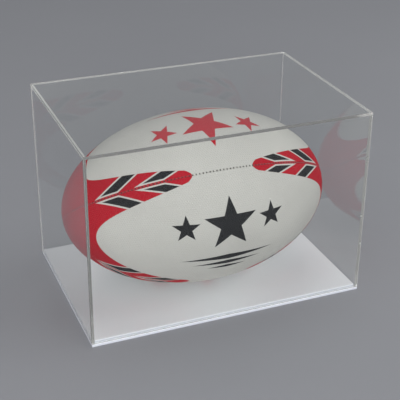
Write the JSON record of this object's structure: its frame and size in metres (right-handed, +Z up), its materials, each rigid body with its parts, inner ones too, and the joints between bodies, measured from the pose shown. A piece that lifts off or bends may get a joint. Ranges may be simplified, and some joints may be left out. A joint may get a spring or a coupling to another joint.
{
  "type": "football display case",
  "caption": "Clear acrylic display case for a rugby ball: lift-off cover on a white stepped base, with the ball lying inside.",
  "frame": {"origin": "middle of the base plate's underside, on the surface that the case stands on", "axes": "+Z up, the way the cover lifts off; +X along the case and the ball; the long front wall faces -Y"},
  "size_m": [0.306, 0.205, 0.211],
  "materials": {
    "clear_acrylic": "polished clear sheet with flame-polished edges",
    "white_acrylic": "glossy white sheet",
    "ball_skin": "pimpled cream rubber with printed red ends",
    "seam_thread": "waxed polyester thread",
    "bladder_rubber": "matt black bladder",
    "valve_rubber": "matt black moulded valve"
  },
  "bodies": {
    "base": {"base_plate": "white_acrylic", "base_insert": "white_acrylic"},
    "cover": {"cover_top_panel": "clear_acrylic", "cover_front_panel": "clear_acrylic", "cover_back_panel": "clear_acrylic", "cover_left_panel": "clear_acrylic", "cover_right_panel": "clear_acrylic"},
    "ball": {"ball_panel_top": "ball_skin", "ball_panel_front": "ball_skin", "ball_panel_bottom": "ball_skin", "ball_panel_back": "ball_skin", "seam_thread_front_upper": "seam_thread", "seam_thread_front_lower": "seam_thread", "seam_thread_back_upper": "seam_thread", "seam_thread_back_lower": "seam_thread", "ball_bladder": "bladder_rubber", "ball_valve": "valve_rubber"}
  },
  "joints": [
    {"name": "cover_lift", "type": "slide", "parent": "base", "child": "cover", "axis": [0, 0, 1], "range_m": [0, 0.2]},
    {"name": "ball_turn", "type": "hinge", "parent": "base", "child": "ball", "pos_m": [-0.002, -0.0056, 0.0991], "axis": [1, 0, 0], "continuous": true}
  ]
}
